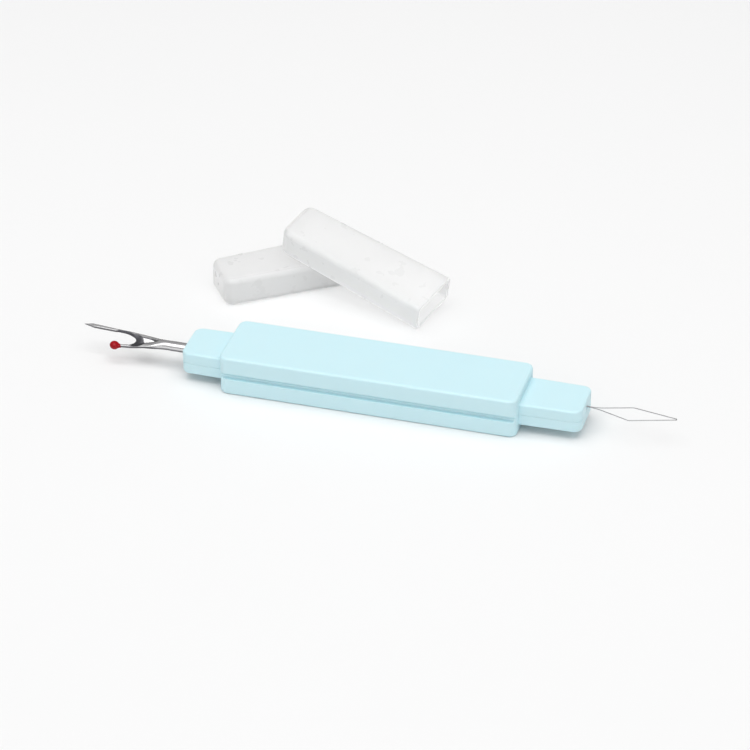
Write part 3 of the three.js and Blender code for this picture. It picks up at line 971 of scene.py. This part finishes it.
# How each cap lies: the middle of its mouth's lower edge in millimetres, the heading from its mouth to its
# closed end, how far the closed end is tipped up, and how far it leans to one side, in degrees
CAPS_LIE = {
    "ripper_cap": {"mouth": (2.9, 36, 1.1), "heading": 164.7, "tip": 13.2, "lean": -9.5},
    "threader_cap": {"mouth": (-19.8, 53.3, 0), "heading": 216.5, "tip": 0, "lean": 0},
}


class SEWING_OT_caps(bpy.types.Operator):
    """Build the two clear caps where they lie"""

    bl_idname = "sewing_tool.caps"
    bl_label = "Clear caps"

    def execute(self, context):
        sizes = context.scene.cap_sizes
        finish = frosted_polypropylene(context.scene.tool_finishes.cap)
        lengths = {"ripper_cap": sizes.ripper_length, "threader_cap": sizes.threader_length}
        for node, lie in CAPS_LIE.items():
            cap = cap_shell("clear_" + node, sizes, lengths[node])
            turn = (Matrix.Rotation(math.radians(lie["heading"]), 4, "Z")
                    @ Matrix.Rotation(math.radians(-lie["tip"]), 4, "Y")
                    @ Matrix.Rotation(math.radians(lie["lean"]), 4, "X"))
            cap.data.transform(Matrix.Translation(Vector(lie["mouth"]) * MM) @ turn)
            shade(cap, 50)
            place(cap, node, node, finish)
        return {"FINISHED"}


# ---------------------------------------------------------------- stage

def add_floor(colour):
    half = 2
    mesh = bpy.data.meshes.new("floor")
    mesh.from_pydata([(x, y, 0) for x, y, _ in rectangle(half, half, 0)], [], [(0, 1, 2, 3)])
    floor = make_object("floor", mesh)
    mesh.materials.append(matt_board(colour))


def add_softbox(name, location, target, size, watts, reflected):
    """Area light that either shows in shiny surfaces only or lights matt surfaces only."""
    light = bpy.data.lights.new(name, "AREA")
    light.shape = "RECTANGLE"
    light.size, light.size_y = size
    light.energy = watts
    lamp = make_object(name, light)
    lamp.location = location
    lamp.rotation_euler = (Vector(target) - Vector(location)).to_track_quat("-Z", "Y").to_euler()
    lamp.visible_diffuse = not reflected
    lamp.visible_glossy = reflected


# How bright the room is along each axis: where the change starts and ends, and the share of light there
ROOM_LIGHT = (
    ("Y", -0.35, 0.45, 0.78, 0.42),
    ("X", -0.75, -0.35, 0.75, 1),
    ("Z", 0.05, 0.16, 0.15, 1),
)


def add_room():
    """Soft white room: brightest towards the front, greyer behind, a little darker to the left, and with a
    dim horizon that draws a dark line along the underside of the bright metal."""
    world = bpy.data.worlds.new("studio")
    world.use_nodes = True
    tree = world.node_tree
    direction = add_node(tree, "ShaderNodeTexCoord").outputs["Generated"]
    axes = add_node(tree, "ShaderNodeSeparateXYZ", {"Vector": direction}).outputs
    strength = 1
    for axis, start, end, at_start, at_end in ROOM_LIGHT:
        span = {"Value": axes[axis], "From Min": start, "From Max": end, "To Min": at_start, "To Max": at_end}
        factor = add_node(tree, "ShaderNodeMapRange", span).outputs["Result"]
        product = add_node(tree, "ShaderNodeMath", {0: strength, 1: factor}, operation="MULTIPLY")
        strength = product.outputs["Value"]
    connect(tree, tree.nodes["Background"], {"Color": linear("#FFFFFF"), "Strength": strength})
    bpy.context.scene.world = world


def add_camera():
    camera = bpy.data.cameras.new("camera")
    camera.lens = 159.8
    camera.sensor_width = 36
    camera.clip_start, camera.clip_end = 0.01, 20
    viewer = make_object("camera", camera)
    viewer.location = Vector((184.4, -609.8, 414.0)) * MM
    target = Vector((-2.77, 8.33, 0)) * MM
    roll = math.radians(-0.632)
    aim = (target - viewer.location).to_track_quat("-Z", "Y").to_matrix().to_4x4()
    viewer.rotation_euler = (aim @ Matrix.Rotation(roll, 4, "Z")).to_euler()
    bpy.context.scene.camera = viewer


class SEWING_OT_stage(bpy.types.Operator):
    """Set the floor, the soft studio light and the camera"""

    bl_idname = "sewing_tool.stage"
    bl_label = "Stage"

    def execute(self, context):
        context.scene.view_settings.view_transform = "Standard"
        add_floor(context.scene.tool_finishes.floor)
        add_room()
        add_softbox("overhead softbox", (0, -0.05, 0.9), (0, 0, 0), (1.2, 0.8), 6.0, reflected=False)
        add_softbox("front reflector", (0, -0.62, 0.74), (0, 0, 0), (1.2, 0.85), 5.5, reflected=True)
        add_camera()
        return {"FINISHED"}


# ---------------------------------------------------------------- add-on

OPERATORS = (
    SEWING_OT_handle_shells,
    SEWING_OT_ripper_fork,
    SEWING_OT_ripper_ball,
    SEWING_OT_threader_loop,
    SEWING_OT_threader_ferrule,
    SEWING_OT_caps,
    SEWING_OT_stage,
)

SETTINGS = {
    "handle_sizes": HandleSizes,
    "ripper_fork_sizes": ForkSizes,
    "loop_sizes": LoopSizes,
    "cap_sizes": CapSizes,
    "tool_finishes": Finishes,
}


class SEWING_PT_tool(bpy.types.Panel):
    """Sizes, colours and the build steps of the sewing tool"""

    bl_idname = "SEWING_PT_tool"
    bl_label = "Needle threader"
    bl_space_type = "VIEW_3D"
    bl_region_type = "UI"
    bl_category = "Sewing tool"

    def draw(self, context):
        for setting, group in SETTINGS.items():
            values = getattr(context.scene, setting)
            box = self.layout.box()
            box.label(text=group.__doc__)
            for name in group.__annotations__:
                box.prop(values, name)
        for operator in OPERATORS:
            self.layout.operator(operator.bl_idname)


def register():
    for group in SETTINGS.values():
        bpy.utils.register_class(group)
    for setting, group in SETTINGS.items():
        setattr(bpy.types.Scene, setting, bpy.props.PointerProperty(type=group))
    for operator in OPERATORS:
        bpy.utils.register_class(operator)
    bpy.utils.register_class(SEWING_PT_tool)


def unregister():
    bpy.utils.unregister_class(SEWING_PT_tool)
    for operator in reversed(OPERATORS):
        bpy.utils.unregister_class(operator)
    for setting in SETTINGS:
        delattr(bpy.types.Scene, setting)
    for group in SETTINGS.values():
        bpy.utils.unregister_class(group)


def main():
    register()
    bpy.ops.sewing_tool.handle_shells()
    bpy.ops.sewing_tool.ripper_fork()
    bpy.ops.sewing_tool.ripper_ball()
    bpy.ops.sewing_tool.threader_loop()
    bpy.ops.sewing_tool.threader_ferrule()
    bpy.ops.sewing_tool.caps()
    bpy.ops.sewing_tool.stage()


if __name__ == "__main__":
    main()
